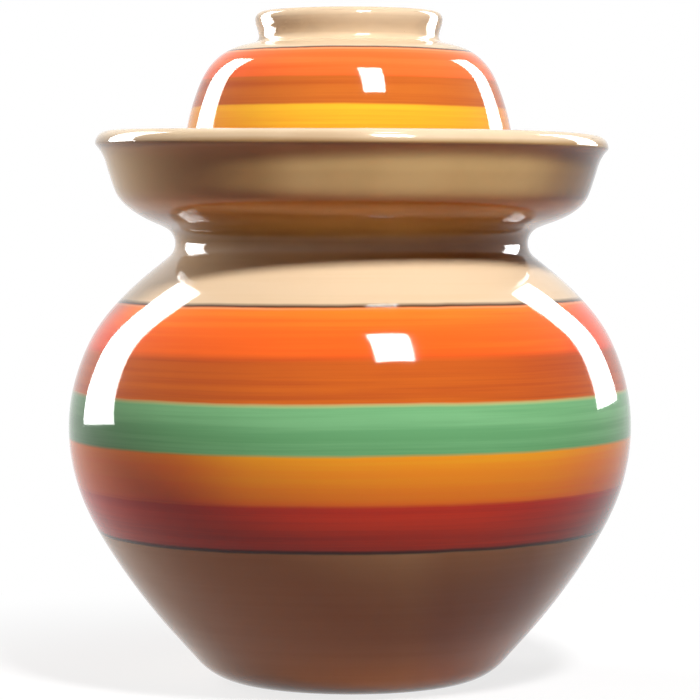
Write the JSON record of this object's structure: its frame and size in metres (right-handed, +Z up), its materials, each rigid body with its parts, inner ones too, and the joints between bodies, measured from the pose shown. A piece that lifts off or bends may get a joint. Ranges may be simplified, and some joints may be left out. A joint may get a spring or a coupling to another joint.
{
  "type": "water seal pickle jar",
  "caption": "Round-bellied glazed pottery pickle jar with a water trough around its mouth, a bowl lid that stands in the trough and a small inner lid.",
  "frame": {"origin": "centre of the foot ring's bottom plane, on the jar's upright axis", "axes": "+Z up along the jar's axis, -Y toward the side that the picture shows"},
  "size_m": [0.24, 0.24, 0.2854],
  "materials": {
    "jar_glaze": "glossy glaze with painted orange, green, amber and red bands",
    "lid_glaze": "glossy glaze with painted orange and yellow bands",
    "inner_lid_glaze": "glossy glaze over cream clay"
  },
  "bodies": {
    "jar": {"jar_body": "jar_glaze"},
    "lid": {"lid": "lid_glaze"},
    "inner_lid": {"inner_lid": "inner_lid_glaze"}
  },
  "joints": [
    {"name": "lid_lift", "type": "slide", "parent": "jar", "child": "lid", "axis": [0, 0, 1], "range_m": [0, 0.13]},
    {"name": "inner_lid_lift", "type": "slide", "parent": "jar", "child": "inner_lid", "axis": [0, 0, 1], "range_m": [0, 0.065]}
  ],
  "couplings": [
    {"joint": "inner_lid_lift", "follows": "lid_lift", "ratio": 0.5}
  ]
}
